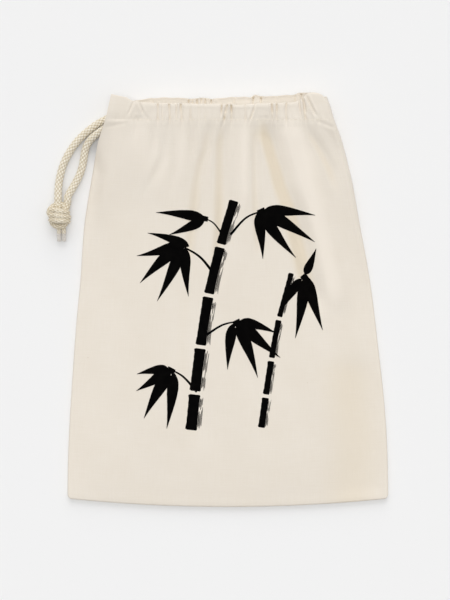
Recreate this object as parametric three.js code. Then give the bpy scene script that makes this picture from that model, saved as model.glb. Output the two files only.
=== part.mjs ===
// A cotton drawstring bag lying on its back panel, empty, with its cord drawn out at the left.
// Units are millimetres and +Z is up. X runs across the bag, Y from the bottom seam to the mouth.
// The origin is on the floor at the middle of the bag's outline.

import * as THREE from 'three';

// Outline of the bag as it lies
const BAG_WIDTH = 250;
const BAG_LENGTH = 324;
const BOTTOM_BOW = 6.5;
const CORNER_RADIUS = 3.5;
const LEFT_DRAWN_IN = 34.9;
const LEFT_CURVE = 2;
const RIGHT_DRAWN_IN = 48.5;
const RIGHT_CURVE = 2;
const LEFT_EAR_TOP = 160;
const RIGHT_EAR_TOP = 162;

// Cloth, seams and thread
const CLOTH = 0.6;
const SEAM_WIDTH = 6;
const SEAM_SETBACK = 0.6;
const THREAD = 0.3;
const STITCH_WIDTH = 0.6;
const STITCH_SETBACK = 1.1;
const GAP = 0.3;

// Cord
const CORD_DIAMETER = 6.2;
const CORD_SIDES = 10;
const CORD_LIFT = 0.1;
const TAIL_DIAMETER = 3.4;
const TIP_DIAMETER = 3.1;
const KNOT_HEIGHT = 14.4;
const KNOT_WIDTH = 20.4;

// Casings round the mouth
const FRONT_FOOT = 139.3;
const BACK_FOOT = 141;
const FRONT_RIM = 152;
const BACK_RIM = 157;
const RIM_RISE_FRONT = 5;
const RIM_RISE_BACK = 2;
const CORD_SHOULDER = 1.2;
const MOUTH_GAP = 5.2;
const LEFT_EAR_X = -74;
const RIGHT_EAR_X = 60;
const EAR_SLACK = 0.8;
const EAR_LEAN = 0.4;
const TURN_STEPS = 12;
const RIM_TAPER = 2.6;

// How the front layer stands over the back one
const SIDE_SLOPE = 14;
const LOW_PUFF = 6.6;
const LOW_PUFF_AT = 34;
const MID_PUFF = 12.8;
const MID_PUFF_AT = 220;
const SLOT_FOOT = 115;
const SLOT_LOW = 127;
const SLOT_LOW_HEIGHT = 12.2;
const SLOT_HIGH = 141;
const SLOT_FALL = 0.4;
const PANEL_RISE = 1.4;

// Values worked out from the sizes above
const cordRadius = CORD_DIAMETER / 2;
const tunnelHalf = cordRadius + GAP + CLOTH;
const frontCordY = FRONT_FOOT + tunnelHalf;
const backCordY = BACK_FOOT + tunnelHalf;
const backCordZ = tunnelHalf;
const frontCordZ = backCordZ + 2 * tunnelHalf + MOUTH_GAP;
const turnRadius = (frontCordZ - backCordZ) / 2;
const turnZ = (frontCordZ + backCordZ) / 2;
const turnY = (frontCordY + backCordY) / 2;
const seamBottom = CLOTH + GAP;
const seamTop = seamBottom + 2 * CLOTH;
const edgeZ = seamTop + GAP;
const earZ = frontCordZ + cordRadius + GAP;
const bottomY = -BAG_LENGTH / 2;
const cornerY = bottomY + BOTTOM_BOW;
const frontTop = FRONT_FOOT - GAP;
const backTop = BACK_FOOT - GAP;
const panelTopZ = frontCordZ + PANEL_RISE;
const turnX = rightEdge(turnY) - turnRadius - tunnelHalf - EAR_SLACK;
const runStart = LEFT_EAR_X;
const strandStart = LEFT_EAR_X - GAP;

// Colours and finishes
const cottonCloth = new THREE.MeshStandardMaterial({ color: 0xe8e1d3, roughness: 0.95, metalness: 0 });
const cottonCord = new THREE.MeshStandardMaterial({ color: 0xd9d1bc, roughness: 0.95, metalness: 0 });
const sewingThread = new THREE.MeshStandardMaterial({ color: 0xeee7da, roughness: 0.8, metalness: 0 });
const tailTape = new THREE.MeshStandardMaterial({ color: 0xc4bcae, roughness: 0.6, metalness: 0 });

const bag = new THREE.Group();

function add(name, geometry, material) {
  const mesh = new THREE.Mesh(geometry, material.clone());
  mesh.name = name;
  bag.add(mesh);
}

// Heights along the bag, as a share of the way from the bottom corners to the left ear's top
function share(y) {
  return Math.max(0, (y - cornerY) / (LEFT_EAR_TOP - cornerY));
}

function leftEdge(y) {
  return -BAG_WIDTH / 2 + LEFT_DRAWN_IN * share(y) ** LEFT_CURVE;
}

function rightEdge(y) {
  return BAG_WIDTH / 2 - RIGHT_DRAWN_IN * share(y) ** RIGHT_CURVE;
}

function bottomEdge(x) {
  return bottomY + BOTTOM_BOW * (2 * x / BAG_WIDTH) ** 2;
}

// How far a rounded bottom corner draws the side in, at a height above the bottom edge
function cornerInset(height) {
  const short = Math.max(0, CORNER_RADIUS - height);
  return CORNER_RADIUS - Math.sqrt(CORNER_RADIUS ** 2 - short ** 2);
}

// Straight lines between the points [at, value] of a list
function along(points, at) {
  if (at <= points[0][0]) return points[0][1];
  for (let i = 1; i < points.length; i += 1) {
    const [x0, v0] = points[i - 1];
    const [x1, v1] = points[i];
    if (at <= x1) return v0 + (v1 - v0) * (at - x0) / (x1 - x0);
  }
  return points[points.length - 1][1];
}

function solid(positions, faces) {
  const geometry = new THREE.BufferGeometry();
  geometry.setAttribute('position', new THREE.Float32BufferAttribute(positions.flat(), 3));
  geometry.setIndex(faces.flat());
  return geometry;
}

function quad(faces, a, b, c, d) {
  faces.push([a, b, c], [a, c, d]);
}

// A sheet over a grid of underside points. A null point leaves its cells out.
function sheet(rows, thickness) {
  const positions = [];
  const low = rows.map((row) => row.map((point) => {
    if (!point) return -1;
    positions.push(point, [point[0], point[1], point[2] + thickness]);
    return positions.length - 2;
  }));
  const here = (j, i) => {
    const corners = [low[j]?.[i], low[j]?.[i + 1], low[j + 1]?.[i], low[j + 1]?.[i + 1]];
    return corners.every((index) => index !== undefined && index >= 0);
  };
  const faces = [];
  for (let j = 0; j + 1 < rows.length; j += 1) {
    for (let i = 0; i + 1 < rows[j].length; i += 1) {
      if (!here(j, i)) continue;
      const [a, b, c, d] = [low[j][i], low[j][i + 1], low[j + 1][i + 1], low[j + 1][i]];
      quad(faces, a, d, c, b);
      quad(faces, a + 1, b + 1, c + 1, d + 1);
      if (!here(j - 1, i)) quad(faces, a, b, b + 1, a + 1);
      if (!here(j, i + 1)) quad(faces, b, c, c + 1, b + 1);
      if (!here(j + 1, i)) quad(faces, c, d, d + 1, c + 1);
      if (!here(j, i - 1)) quad(faces, d, a, a + 1, d + 1);
    }
  }
  return solid(positions, faces);
}

// The back panel is flat on the floor, with the left ear beside the end of its casing.
function backPanel() {
  const outline = [];
  const bottomSteps = 16;
  const sideSteps = 20;
  const inner = BAG_WIDTH / 2 - CORNER_RADIUS;
  for (let i = 0; i <= bottomSteps; i += 1) {
    const x = -inner + 2 * inner * i / bottomSteps;
    outline.push([x, bottomEdge(x)]);
  }
  const sideFoot = bottomEdge(inner) + CORNER_RADIUS;
  for (let i = 0; i <= sideSteps; i += 1) {
    const y = sideFoot + (backTop - sideFoot) * i / sideSteps;
    outline.push([rightEdge(y), y]);
  }
  outline.push([strandStart, backTop], [strandStart, LEFT_EAR_TOP]);
  for (let i = sideSteps; i >= 0; i -= 1) {
    const y = sideFoot + (LEFT_EAR_TOP - sideFoot) * i / sideSteps;
    outline.push([leftEdge(y), y]);
  }
  const shape = new THREE.Shape(outline.map(([x, y]) => new THREE.Vector2(x, y)));
  return new THREE.ExtrudeGeometry(shape, { depth: CLOTH, bevelEnabled: false });
}

// Height of the front layer's underside over the floor
function frontUnder(x, y) {
  const puff = along([
    [0, edgeZ],
    [LOW_PUFF_AT, LOW_PUFF],
    [MID_PUFF_AT, MID_PUFF],
    [frontTop - bottomY, panelTopZ],
  ], y - bottomEdge(x));
  const fromSide = Math.min(x - leftEdge(y), rightEdge(y) - x);
  const inward = THREE.MathUtils.clamp(fromSide / SIDE_SLOPE, 0, 1);
  const body = edgeZ + (puff - edgeZ) * inward;
  const slot = along([
    [SLOT_FOOT, edgeZ],
    [SLOT_LOW, SLOT_LOW_HEIGHT],
    [SLOT_HIGH, earZ],
  ], y);
  return Math.max(body, slot - SLOT_FALL * Math.max(0, x - strandStart));
}

// Places across the front layer at one height: the left zone ends at the ear, beside the casing
function columns(y, inset) {
  const left = leftEdge(y) + inset;
  const right = rightEdge(y) - inset;
  const slope = Math.min(SIDE_SLOPE, (strandStart - left) * 0.8);
  const leftZone = [0, 0.3, 0.65, 1].map((part) => left + slope * part);
  const middle = [0, 0.04, 0.1, 0.3, 0.55, 0.8, 1];
  const rightZone = middle.map((part) => strandStart + (right - SIDE_SLOPE - strandStart) * part);
  const rightSlope = [0.35, 0.7, 1].map((part) => right - SIDE_SLOPE * (1 - part));
  return leftZone.concat(rightZone, rightSlope);
}

const EAR_COLUMNS = 5;

function frontPanel() {
  const rows = [];
  for (const height of [0, CORNER_RADIUS * 0.3, CORNER_RADIUS]) {
    rows.push(columns(cornerY + height, cornerInset(height)).map((x) => {
      const y = bottomEdge(x) + height;
      return [x, y, frontUnder(x, y)];
    }));
  }
  const bodyFoot = cornerY + CORNER_RADIUS * 1.6;
  const heights = [0, 0.045, 0.1, 0.19, 0.32, 0.45, 0.58, 0.72, 0.82, 0.88].map(
    (part) => bodyFoot + (frontTop - bodyFoot) * part,
  );
  const middle = (SLOT_FOOT + SLOT_LOW) / 2;
  heights.push(SLOT_FOOT, middle, SLOT_LOW, (SLOT_LOW + frontTop) / 2, frontTop);
  for (const y of heights) rows.push(columns(y, 0).map((x) => [x, y, frontUnder(x, y)]));
  const earHeights = [SLOT_HIGH, (SLOT_HIGH + LEFT_EAR_TOP) / 2, LEFT_EAR_TOP];
  for (const y of earHeights) {
    rows.push(columns(y, 0).map((x, i) => (i < EAR_COLUMNS ? [x, y, frontUnder(x, y)] : null)));
  }
  return sheet(rows, CLOTH);
}

// Turned-in edges of both panels, sewn together along the inside of each side
function sideSeam(edge, inward, top) {
  const foot = cornerY + SEAM_WIDTH + SEAM_SETBACK + GAP;
  const steps = 14;
  const rows = [];
  for (let j = 0; j <= steps; j += 1) {
    const y = foot + (top - foot) * j / steps;
    const outer = edge(y) + inward * SEAM_SETBACK;
    const inner = outer + inward * SEAM_WIDTH;
    rows.push([Math.min(outer, inner), Math.max(outer, inner)].map((x) => [x, y, seamBottom]));
  }
  return sheet(rows, 2 * CLOTH);
}

function bottomSeam() {
  const reach = BAG_WIDTH / 2 - CORNER_RADIUS - SEAM_SETBACK;
  const steps = 12;
  const row = (offset) => Array.from({ length: steps + 1 }, (_, i) => {
    const x = -reach + 2 * reach * i / steps;
    return [x, bottomEdge(x) + offset, seamBottom];
  });
  return sheet([row(SEAM_SETBACK), row(SEAM_SETBACK + SEAM_WIDTH)], 2 * CLOTH);
}

// Line of stitches that closes the front casing, on the outside of the front panel
function frontHemThread() {
  const top = frontTop - STITCH_SETBACK;
  const rows = [top - STITCH_WIDTH, top].map((y) => (
    columns(y, 0).slice(EAR_COLUMNS, -1).map((x) => [x, y, frontUnder(x, y) + CLOTH + GAP])
  ));
  return sheet(rows, THREAD);
}

// The same line on the inside of the back panel
function backHemThread() {
  const top = backTop - STITCH_SETBACK;
  const end = rightEdge(top) - SEAM_SETBACK - SEAM_WIDTH - GAP;
  const rows = [top - STITCH_WIDTH, top].map((y) => (
    [LEFT_EAR_X, 0, end].map((x) => [x, y, CLOTH + GAP])
  ));
  return sheet(rows, THREAD);
}

// One loop of a casing's section, as [y, out] pairs: round at its foot and drawn flat at the rim.
// flat goes from 0, where the foot is round, to 1, where its outer side lies square on the floor.
function loop(foot, rim, half, wall, flat) {
  const points = [];
  const centre = foot + half;
  const inside = half - wall;
  const arcSteps = 6;
  for (let i = 0; i <= arcSteps; i += 1) {
    const angle = Math.PI * (i / arcSteps - 0.5);
    const round = [centre - inside * Math.cos(angle), inside * Math.sin(angle)];
    const square = [i === arcSteps ? centre : foot + wall, inside * Math.min(1, i - arcSteps / 2)];
    const blend = i > arcSteps / 2 ? flat : 0;
    points.push([0, 1].map((k) => THREE.MathUtils.lerp(round[k], square[k], blend)));
  }
  const side = half * 0.6 - wall;
  const tip = Math.max(half * 0.25 - wall, half * 0.1);
  const shoulder = centre + CORD_SHOULDER;
  points.push([shoulder, inside], [rim - RIM_TAPER - wall / 2, side], [rim - wall * 1.5, tip]);
  points.push([rim - wall * 1.5, -tip], [rim - RIM_TAPER - wall / 2, -side], [shoulder, -inside]);
  return points;
}

// A cloth tunnel through stations, each with its section sizes and a place(y, out) function
function tunnel(stations) {
  const positions = [];
  const rings = stations.map(({ foot, rim, half, flat, place }) => [0, CLOTH].map((wall) => {
    const start = positions.length;
    const points = loop(foot, rim, half, wall, flat);
    points.forEach(([y, out]) => positions.push(place(y, out)));
    return { start, count: points.length };
  }));
  const faces = [];
  const last = rings.length - 1;
  const { count } = rings[0][0];
  for (let i = 0; i < count; i += 1) {
    const next = (i + 1) % count;
    for (let j = 0; j < last; j += 1) {
      const [outer, inner] = rings[j];
      const [outer2, inner2] = rings[j + 1];
      quad(faces, outer.start + i, outer2.start + i, outer2.start + next, outer.start + next);
      quad(faces, inner.start + i, inner.start + next, inner2.start + next, inner2.start + i);
    }
    const [firstOuter, firstInner] = rings[0];
    const [lastOuter, lastInner] = rings[last];
    quad(faces, firstOuter.start + i, firstOuter.start + next,
      firstInner.start + next, firstInner.start + i);
    quad(faces, lastOuter.start + i, lastInner.start + i,
      lastInner.start + next, lastOuter.start + next);
  }
  return solid(positions, faces);
}

// Places in a straight run at x, leaning with the bag's side where lean is over 0
const leaning = (x, y, lean) => x - EAR_LEAN * (y - turnY) * lean;
const frontPlace = (x, lean = 0) => (y, out) => [leaning(x, y, lean), y, frontCordZ + out];
const backPlace = (x, lean = 0) => (y, out) => [leaning(x, y, lean), y, backCordZ - out];

// Places along a casing as shares of its length, and how far the rim rises there
const CASING_STATIONS = [[0, 0.8], [0.06, 0.2], [0.25, 0], [0.5, 0], [0.75, 0], [0.93, 0.3], [1, 1]];

function frontCasing() {
  const length = RIGHT_EAR_X - GAP - LEFT_EAR_X;
  return tunnel(CASING_STATIONS.map(([part, rise]) => ({
    foot: FRONT_FOOT,
    rim: FRONT_RIM + RIM_RISE_FRONT * rise,
    half: tunnelHalf,
    flat: 0,
    place: frontPlace(LEFT_EAR_X + length * part),
  })));
}

function backCasing() {
  const length = RIGHT_EAR_X - GAP - LEFT_EAR_X;
  return tunnel(CASING_STATIONS.toReversed().map(([part, rise]) => ({
    foot: BACK_FOOT,
    rim: BACK_RIM + RIM_RISE_BACK * rise,
    half: tunnelHalf,
    flat: 1,
    place: backPlace(LEFT_EAR_X + length * part),
  })));
}

// Where the casing passes round the right end: angle goes from +90 degrees, front, to -90, back
function turnStation(angle) {
  const back = (1 - Math.sin(angle)) / 2;
  const bulge = Math.cos(angle);
  return {
    foot: THREE.MathUtils.lerp(FRONT_FOOT, BACK_FOOT, back) - EAR_SLACK * bulge,
    rim: RIGHT_EAR_TOP,
    half: tunnelHalf + EAR_SLACK * bulge,
    flat: back,
    place: (y, out) => [
      leaning(turnX, y, 1) + (turnRadius + out) * bulge,
      y,
      turnZ + (turnRadius + out) * Math.sin(angle),
    ],
  };
}

// The casing's cloth round the right end of the mouth, with the rim standing up as an ear
function rightEar() {
  const half = tunnelHalf;
  const midX = (RIGHT_EAR_X + turnX) / 2;
  const midRim = (FRONT_RIM + RIM_RISE_FRONT + 2 * RIGHT_EAR_TOP) / 3;
  const front = { foot: FRONT_FOOT, half, flat: 0 };
  const back = { foot: BACK_FOOT, half, flat: 1 };
  const stations = [
    { ...front, rim: FRONT_RIM + RIM_RISE_FRONT, place: frontPlace(RIGHT_EAR_X) },
    { ...front, rim: midRim, place: frontPlace(midX, 0.5) },
  ];
  for (let i = 0; i <= TURN_STEPS; i += 1) {
    stations.push(turnStation(Math.PI * (0.5 - i / TURN_STEPS)));
  }
  stations.push({ ...back, rim: midRim, place: backPlace(midX, 0.5) });
  stations.push({ ...back, rim: BACK_RIM + RIM_RISE_BACK, place: backPlace(RIGHT_EAR_X) });
  return tunnel(stations);
}

// A round cord of the given diameter along a curve
function cordAlong(curve, steps, diameter) {
  const section = new THREE.Shape();
  for (let i = 0; i < CORD_SIDES; i += 1) {
    const angle = 2 * Math.PI * i / CORD_SIDES;
    const [x, y] = [Math.cos(angle), Math.sin(angle)].map((part) => part * diameter / 2);
    if (i === 0) section.moveTo(x, y);
    else section.lineTo(x, y);
  }
  section.closePath();
  return new THREE.ExtrudeGeometry(section, { steps, extrudePath: curve, bevelEnabled: false });
}

function straightCord(from, to, diameter) {
  const line = new THREE.LineCurve3(new THREE.Vector3(...from), new THREE.Vector3(...to));
  return cordAlong(line, 1, diameter);
}

// The cord's way round the right end, inside the ear
class CordTurn extends THREE.Curve {
  getPoint(t, target = new THREE.Vector3()) {
    const angle = Math.PI * (0.5 - t);
    const y = THREE.MathUtils.lerp(frontCordY, backCordY, (1 - Math.sin(angle)) / 2);
    return target.set(
      turnX + turnRadius * Math.cos(angle),
      y,
      turnZ + turnRadius * Math.sin(angle),
    );
  }
}

const floorZ = cordRadius + CORD_LIFT;

// Free strand from the back casing, on the outside of the bend
const OUTER_ROUTE = [
  [strandStart, backCordY, backCordZ],
  [-77.5, backCordY, backCordZ],
  [-81.6, 144.7, backCordZ],
  [-86.2, 143.6, backCordZ],
  [-90.6, 141.9, backCordZ],
  [-95.0, 139.9, backCordZ],
  [-99.4, 137.7, backCordZ],
  [-104.4, 134.4, 3.8],
  [-109.2, 130.7, 3.5],
  [-113.6, 126.8, floorZ],
  [-117.4, 122.8, floorZ],
  [-120.8, 118.4, floorZ],
  [-123.7, 113.9, floorZ],
  [-126.3, 109.0, floorZ],
  [-128.4, 104.0, floorZ],
  [-130.2, 98.0, floorZ],
  [-131.5, 91.5, 3.4],
  [-132.1, 85.4, 4.2],
  [-132.2, 79.8, 5.0],
  [-132.2, 74.7, 5.0],
];

// Free strand from the front casing, on the inside of the bend
const INNER_ROUTE = [
  [strandStart, frontCordY, frontCordZ],
  [-77.0, frontCordY, frontCordZ],
  [-80.4, 142.6, 16.7],
  [-84.0, 141.0, 15.4],
  [-87.8, 138.6, 13.5],
  [-91.6, 135.6, 11.5],
  [-95.7, 132.5, 9.7],
  [-100.2, 129.5, 8.1],
  [-104.6, 126.1, 6.7],
  [-108.4, 122.0, 5.4],
  [-110.9, 116.6, 4.2],
  [-112.1, 110.6, 3.5],
  [-113.2, 104.4, floorZ],
  [-115.2, 97.6, floorZ],
  [-118.4, 91.0, 3.4],
  [-121.6, 85.4, 4.2],
  [-124.5, 79.8, 5.0],
  [-124.9, 74.8, 5.0],
];

function strand(route) {
  const curve = new THREE.CatmullRomCurve3(route.map((point) => new THREE.Vector3(...point)));
  return cordAlong(curve, 20, CORD_DIAMETER);
}

// The knot that joins both ends, round and a little flattened, lying on the floor
const KNOT_X = -130.9;
const KNOT_TOP = 74.3;
const KNOT_PROFILE = [[0, 0], [8.4, 0], [9.7, 3], [10.2, 8], [9.9, 12.5], [8.0, 17], [4.8, 20.3], [0, 20.3]];
const KNOT_SECTORS = 16;

function cordKnot() {
  const profile = KNOT_PROFILE.map(([radius, down]) => new THREE.Vector2(radius, down));
  const geometry = new THREE.LatheGeometry(profile, KNOT_SECTORS);
  const widest = Math.max(...KNOT_PROFILE.map(([radius]) => radius));
  geometry.rotateX(Math.PI);
  geometry.scale(KNOT_WIDTH / 2 / widest, 1, KNOT_HEIGHT / 2 / widest);
  geometry.translate(KNOT_X, KNOT_TOP, KNOT_HEIGHT / 2);
  return geometry;
}

const knotFoot = KNOT_TOP - KNOT_PROFILE.at(-1)[1];

// Tails below the knot: a short bare length, then the taped end
const TAIL_SPACING = 3.7;
const TAIL_MIDDLE_X = -129.5;
const TAIL_START_Z = 5.6;
const TAIL_END_Z = 2.4;
const TAIL_BARE = 2.4;
const TAIL_LENGTH = 8.7;

function tailPoint(side, down) {
  const slope = (TAIL_START_Z - TAIL_END_Z) / TAIL_LENGTH;
  const start = knotFoot - GAP - slope * TAIL_DIAMETER / 2;
  return [TAIL_MIDDLE_X + side * TAIL_SPACING / 2, start - down, TAIL_START_Z - slope * down];
}

function addTail(name, side) {
  const bare = straightCord(tailPoint(side, 0), tailPoint(side, TAIL_BARE), TAIL_DIAMETER);
  const taped = straightCord(tailPoint(side, TAIL_BARE + GAP), tailPoint(side, TAIL_LENGTH), TIP_DIAMETER);
  add(name, bare, cottonCord);
  add(`${name}_tip`, taped, tailTape);
}

add('back_panel', backPanel(), cottonCloth);
add('front_panel', frontPanel(), cottonCloth);
add('left_side_seam', sideSeam(leftEdge, 1, SLOT_FOOT - GAP), cottonCloth);
add('right_side_seam', sideSeam(rightEdge, -1, frontTop), cottonCloth);
add('bottom_seam', bottomSeam(), cottonCloth);
add('front_casing', frontCasing(), cottonCloth);
add('back_casing', backCasing(), cottonCloth);
add('right_ear', rightEar(), cottonCloth);
add('front_hem_thread', frontHemThread(), sewingThread);
add('back_hem_thread', backHemThread(), sewingThread);

const frontRun = [frontCordY, frontCordZ];
const backRun = [backCordY, backCordZ];
add('cord_front_run', straightCord([runStart, ...frontRun], [turnX - GAP, ...frontRun], CORD_DIAMETER), cottonCord);
add('cord_turn', cordAlong(new CordTurn(), TURN_STEPS, CORD_DIAMETER), cottonCord);
add('cord_back_run', straightCord([turnX - GAP, ...backRun], [runStart, ...backRun], CORD_DIAMETER), cottonCord);
add('outer_strand', strand(OUTER_ROUTE), cottonCord);
add('inner_strand', strand(INNER_ROUTE), cottonCord);
add('cord_knot', cordKnot(), cottonCord);
addTail('outer_tail', -1);
addTail('inner_tail', 1);

export default bag;
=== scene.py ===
# A cotton drawstring bag lying on its back panel, seen from straight above.
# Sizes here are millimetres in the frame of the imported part; meshes are made in metres.

import math

import bpy
import numpy as np
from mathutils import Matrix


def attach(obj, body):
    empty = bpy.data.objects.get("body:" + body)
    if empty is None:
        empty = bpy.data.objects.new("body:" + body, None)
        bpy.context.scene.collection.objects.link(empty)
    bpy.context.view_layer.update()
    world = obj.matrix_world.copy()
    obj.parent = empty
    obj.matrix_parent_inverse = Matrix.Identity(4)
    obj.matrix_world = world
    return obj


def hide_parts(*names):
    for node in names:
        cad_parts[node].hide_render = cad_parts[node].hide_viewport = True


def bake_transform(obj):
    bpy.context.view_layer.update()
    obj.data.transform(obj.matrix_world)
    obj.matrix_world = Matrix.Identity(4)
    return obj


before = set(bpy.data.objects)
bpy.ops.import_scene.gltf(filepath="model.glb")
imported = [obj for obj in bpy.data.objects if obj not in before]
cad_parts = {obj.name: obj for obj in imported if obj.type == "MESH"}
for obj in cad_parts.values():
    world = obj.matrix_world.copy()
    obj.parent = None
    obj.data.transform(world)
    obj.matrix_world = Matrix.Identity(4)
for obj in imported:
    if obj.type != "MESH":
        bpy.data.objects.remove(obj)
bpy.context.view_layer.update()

scene = bpy.context.scene

MM = 0.001


# Camera

CAMERA_AT = (-2.22, -0.66, 2600)
PHOTO_HEIGHT = 468
SENSOR = 36


def placed(name, data):
    made = bpy.data.objects.new(name, data)
    scene.collection.objects.link(made)
    return made


camera_data = bpy.data.cameras.new("camera")
camera_data.sensor_width = SENSOR
camera_data.lens = SENSOR * CAMERA_AT[2] / PHOTO_HEIGHT
scene.camera = placed("camera", camera_data)
scene.camera.location = [value * MM for value in CAMERA_AT]


# Small helpers

SHARP_ANGLE = math.radians(50)


def smooth(t):
    t = np.clip(t, 0, 1)
    return t * t * (3 - 2 * t)


def mix(a, b, t):
    return a + (b - a) * t


def hill(value, centre, width):
    return np.exp(-((value - centre) / width) ** 2)


def groove(off, width, ridges):
    """A crease with a small ridge on both sides."""
    beside = hill(off, 2.1 * width, 1.2 * width) + hill(off, -2.1 * width, 1.2 * width)
    return hill(off, 0, width) - ridges * beside


def side_rise(t):
    """A rise that is quick at first and then ever slower."""
    return 1 - (1 - np.clip(t, 0, 1)) ** 2


def quarter(t):
    """The rise of a quarter of a circle."""
    return np.sqrt(side_rise(t))


def catmull(controls, counts):
    """Points of a smooth line through controls (first axis), counts[k] of them in each span."""
    first, last = 2 * controls[:1] - controls[1:2], 2 * controls[-1:] - controls[-2:-1]
    padded = np.concatenate([first, controls, last])
    rows = []
    for k, count in enumerate(counts):
        p0, p1, p2, p3 = padded[k:k + 4]
        for t in np.arange(count) / count:
            rows.append(0.5 * (2 * p1 + (p2 - p0) * t + (2 * p0 - 5 * p1 + 4 * p2 - p3) * t * t
                               + (3 * p1 - p0 - 3 * p2 + p3) * t ** 3))
    return np.array(rows + [controls[-1]])


def line_through(route, count):
    return catmull(np.array(route, float), [count] * (len(route) - 1))


def gaps(points):
    """Distances from each point, or each row of points, to the next."""
    return np.linalg.norm(np.diff(points, axis=0), axis=-1)


def directions(line):
    ahead = np.gradient(line, axis=0)
    return ahead / np.linalg.norm(ahead, axis=1)[:, None]


def resample(points, step):
    """The same line with points about a step apart, and how far along it each lies."""
    run = np.concatenate([[0], np.cumsum(gaps(points))])
    at = np.linspace(0, run[-1], max(2, round(run[-1] / step)) + 1)
    return np.stack([np.interp(at, run, column) for column in points.T], 1), at


def new_object(name, points, faces, material, uv=None, sharp=False):
    """uv is one pair per vertex, in millimetres of cloth or cord. sharp keeps edges crisp."""
    mesh = bpy.data.meshes.new(name)
    mesh.from_pydata((np.asarray(points) * MM).tolist(), [], faces)
    mesh.shade_smooth()
    mesh.materials.append(material)
    if uv is not None:
        corners = [corner for face in faces for corner in face]
        mesh.uv_layers.new(name="flat").data.foreach_set("uv", (uv[corners] * MM).ravel())
    if sharp:
        mesh.set_sharp_from_angle(angle=SHARP_ANGLE)
    return placed(name, mesh)


def add_values(piece, name, values):
    piece.data.attributes.new(name, "FLOAT", "POINT").data.foreach_set("value", values)


# Materials

def srgb(*levels):
    """A linear colour from three sRGB levels, none of them nearly black."""
    return (*(((level / 255 + 0.055) / 1.055) ** 2.4 for level in levels), 1)


class Nodes:
    """The node tree of a material or world, written one call per node."""

    def __init__(self, owner):
        owner.use_nodes = True
        self.owner, self.tree = owner, owner.node_tree
        self.tree.nodes.clear()

    def add(self, kind, inputs=None, **settings):
        node = self.tree.nodes.new("ShaderNode" + kind)
        for name, value in settings.items():
            setattr(node, name, value)
        for name, value in (inputs or {}).items():
            if isinstance(value, bpy.types.NodeSocket):
                self.tree.links.new(value, node.inputs[name])
            else:
                node.inputs[name].default_value = value
        return node

    def flat(self):
        """The place on the flat cloth or along the cord."""
        return self.add("UVMap", uv_map="flat").outputs[0]

    def value(self, name):
        return self.add("Attribute", attribute_name=name).outputs["Fac"]

    def math(self, operation, *values):
        return self.add("Math", dict(enumerate(values)), operation=operation).outputs[0]

    def noise(self, vector, scale, detail=2, roughness=0.5):
        inputs = {"Vector": vector, "Scale": scale, "Detail": detail, "Roughness": roughness}
        return self.add("TexNoise", inputs).outputs["Fac"]

    def span(self, value, low, high, out_low=0, out_high=1):
        inputs = dict(enumerate((value, low, high, out_low, out_high)))
        return self.add("MapRange", inputs).outputs[0]

    def blend(self, share, first, second):
        return self.add("Mix", {0: share, 6: first, 7: second}, data_type="RGBA").outputs[2]

    def tinted(self, colour, *tints):
        """The colour with tints laid over it in turn, each a share and a colour."""
        for share, tint in tints:
            colour = self.blend(share, colour, tint)
        return colour

    def scaled(self, vector, x, y, z=1):
        return self.add("Mapping", {"Vector": vector, "Scale": (x, y, z)}).outputs[0]

    def surface(self, colour, roughness, bump, specular, sheen=None):
        """bump is its strength, distance and height; sheen is its weight and roughness."""
        raised = self.add("Bump", dict(zip(("Strength", "Distance", "Height"), bump)))
        inputs = {"Base Color": colour, "Roughness": roughness, "Normal": raised.outputs[0],
                  "Specular IOR Level": specular}
        if sheen:
            inputs["Sheen Weight"], inputs["Sheen Roughness"] = sheen
        return self.finish(self.add("BsdfPrincipled", inputs))

    def finish(self, shader, kind="Material"):
        self.add("Output" + kind, {"Surface": shader.outputs[0]})
        return self.owner


def new_material(name):
    return Nodes(bpy.data.materials.new(name))


WEAVE_PITCH = 0.00046
SLUB_SCALES = [(1700, 60), (60, 1700)]
FLECK_SCALE = 95
FLECK_SIZE = 0.00042 * FLECK_SCALE
FLECK_SHARE = 0.16


def weave(nodes, flat):
    """Height of a plain weave over the cloth, from 0 to 1."""
    axes = nodes.add("SeparateXYZ", {0: flat}).outputs
    wobble = nodes.math("MULTIPLY", nodes.noise(flat, 420), 0.9)
    waves = []
    for axis in axes[:2]:
        turn = nodes.math("ADD", nodes.math("MULTIPLY", axis, 1 / WEAVE_PITCH), wobble)
        waves.append(nodes.math("SINE", nodes.math("MULTIPLY", turn, 2 * math.pi)))
    height = nodes.math("MULTIPLY", *waves)
    return nodes.math("ADD", nodes.math("MULTIPLY", height, 0.5), 0.5)


def slubs(nodes, flat):
    """Uneven yarn: long faint streaks along both directions of the weave."""
    return nodes.math("ADD", *(nodes.noise(nodes.scaled(flat, *scale), 1)
                               for scale in SLUB_SCALES))


def flecks(nodes, flat):
    """Sparse seed flecks: 1 on a fleck and 0 elsewhere."""
    wander = nodes.add("TexNoise", {"Vector": flat, "Scale": 900}).outputs["Color"]
    shift = nodes.scaled(wander, 0.0004, 0.0004, 0)
    bent = nodes.add("VectorMath", {0: flat, 1: shift}, operation="ADD").outputs[0]
    cells = nodes.add("TexVoronoi", {"Vector": bent, "Scale": FLECK_SCALE}).outputs
    near = nodes.span(cells["Distance"], FLECK_SIZE, FLECK_SIZE * 0.55)
    chance = nodes.add("SeparateXYZ", {0: cells["Color"]}).outputs[0]
    return nodes.math("MULTIPLY", near, nodes.math("LESS_THAN", chance, FLECK_SHARE))


CLOTH_COLOUR = srgb(235, 227, 215)
# A darker cloth tone: of uneven yarn and random patches, and also painted shade in the weave's
# hollows
CLOTH_DARK_AND_SHADE = srgb(222, 211, 194)
CLOTH_PALE = srgb(239, 232, 222)
# Painted shade: a darker, warmer tone laid into the steep sides of folds and into pleats
CLOTH_FOLD_SHADE = srgb(224, 209, 182)
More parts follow.
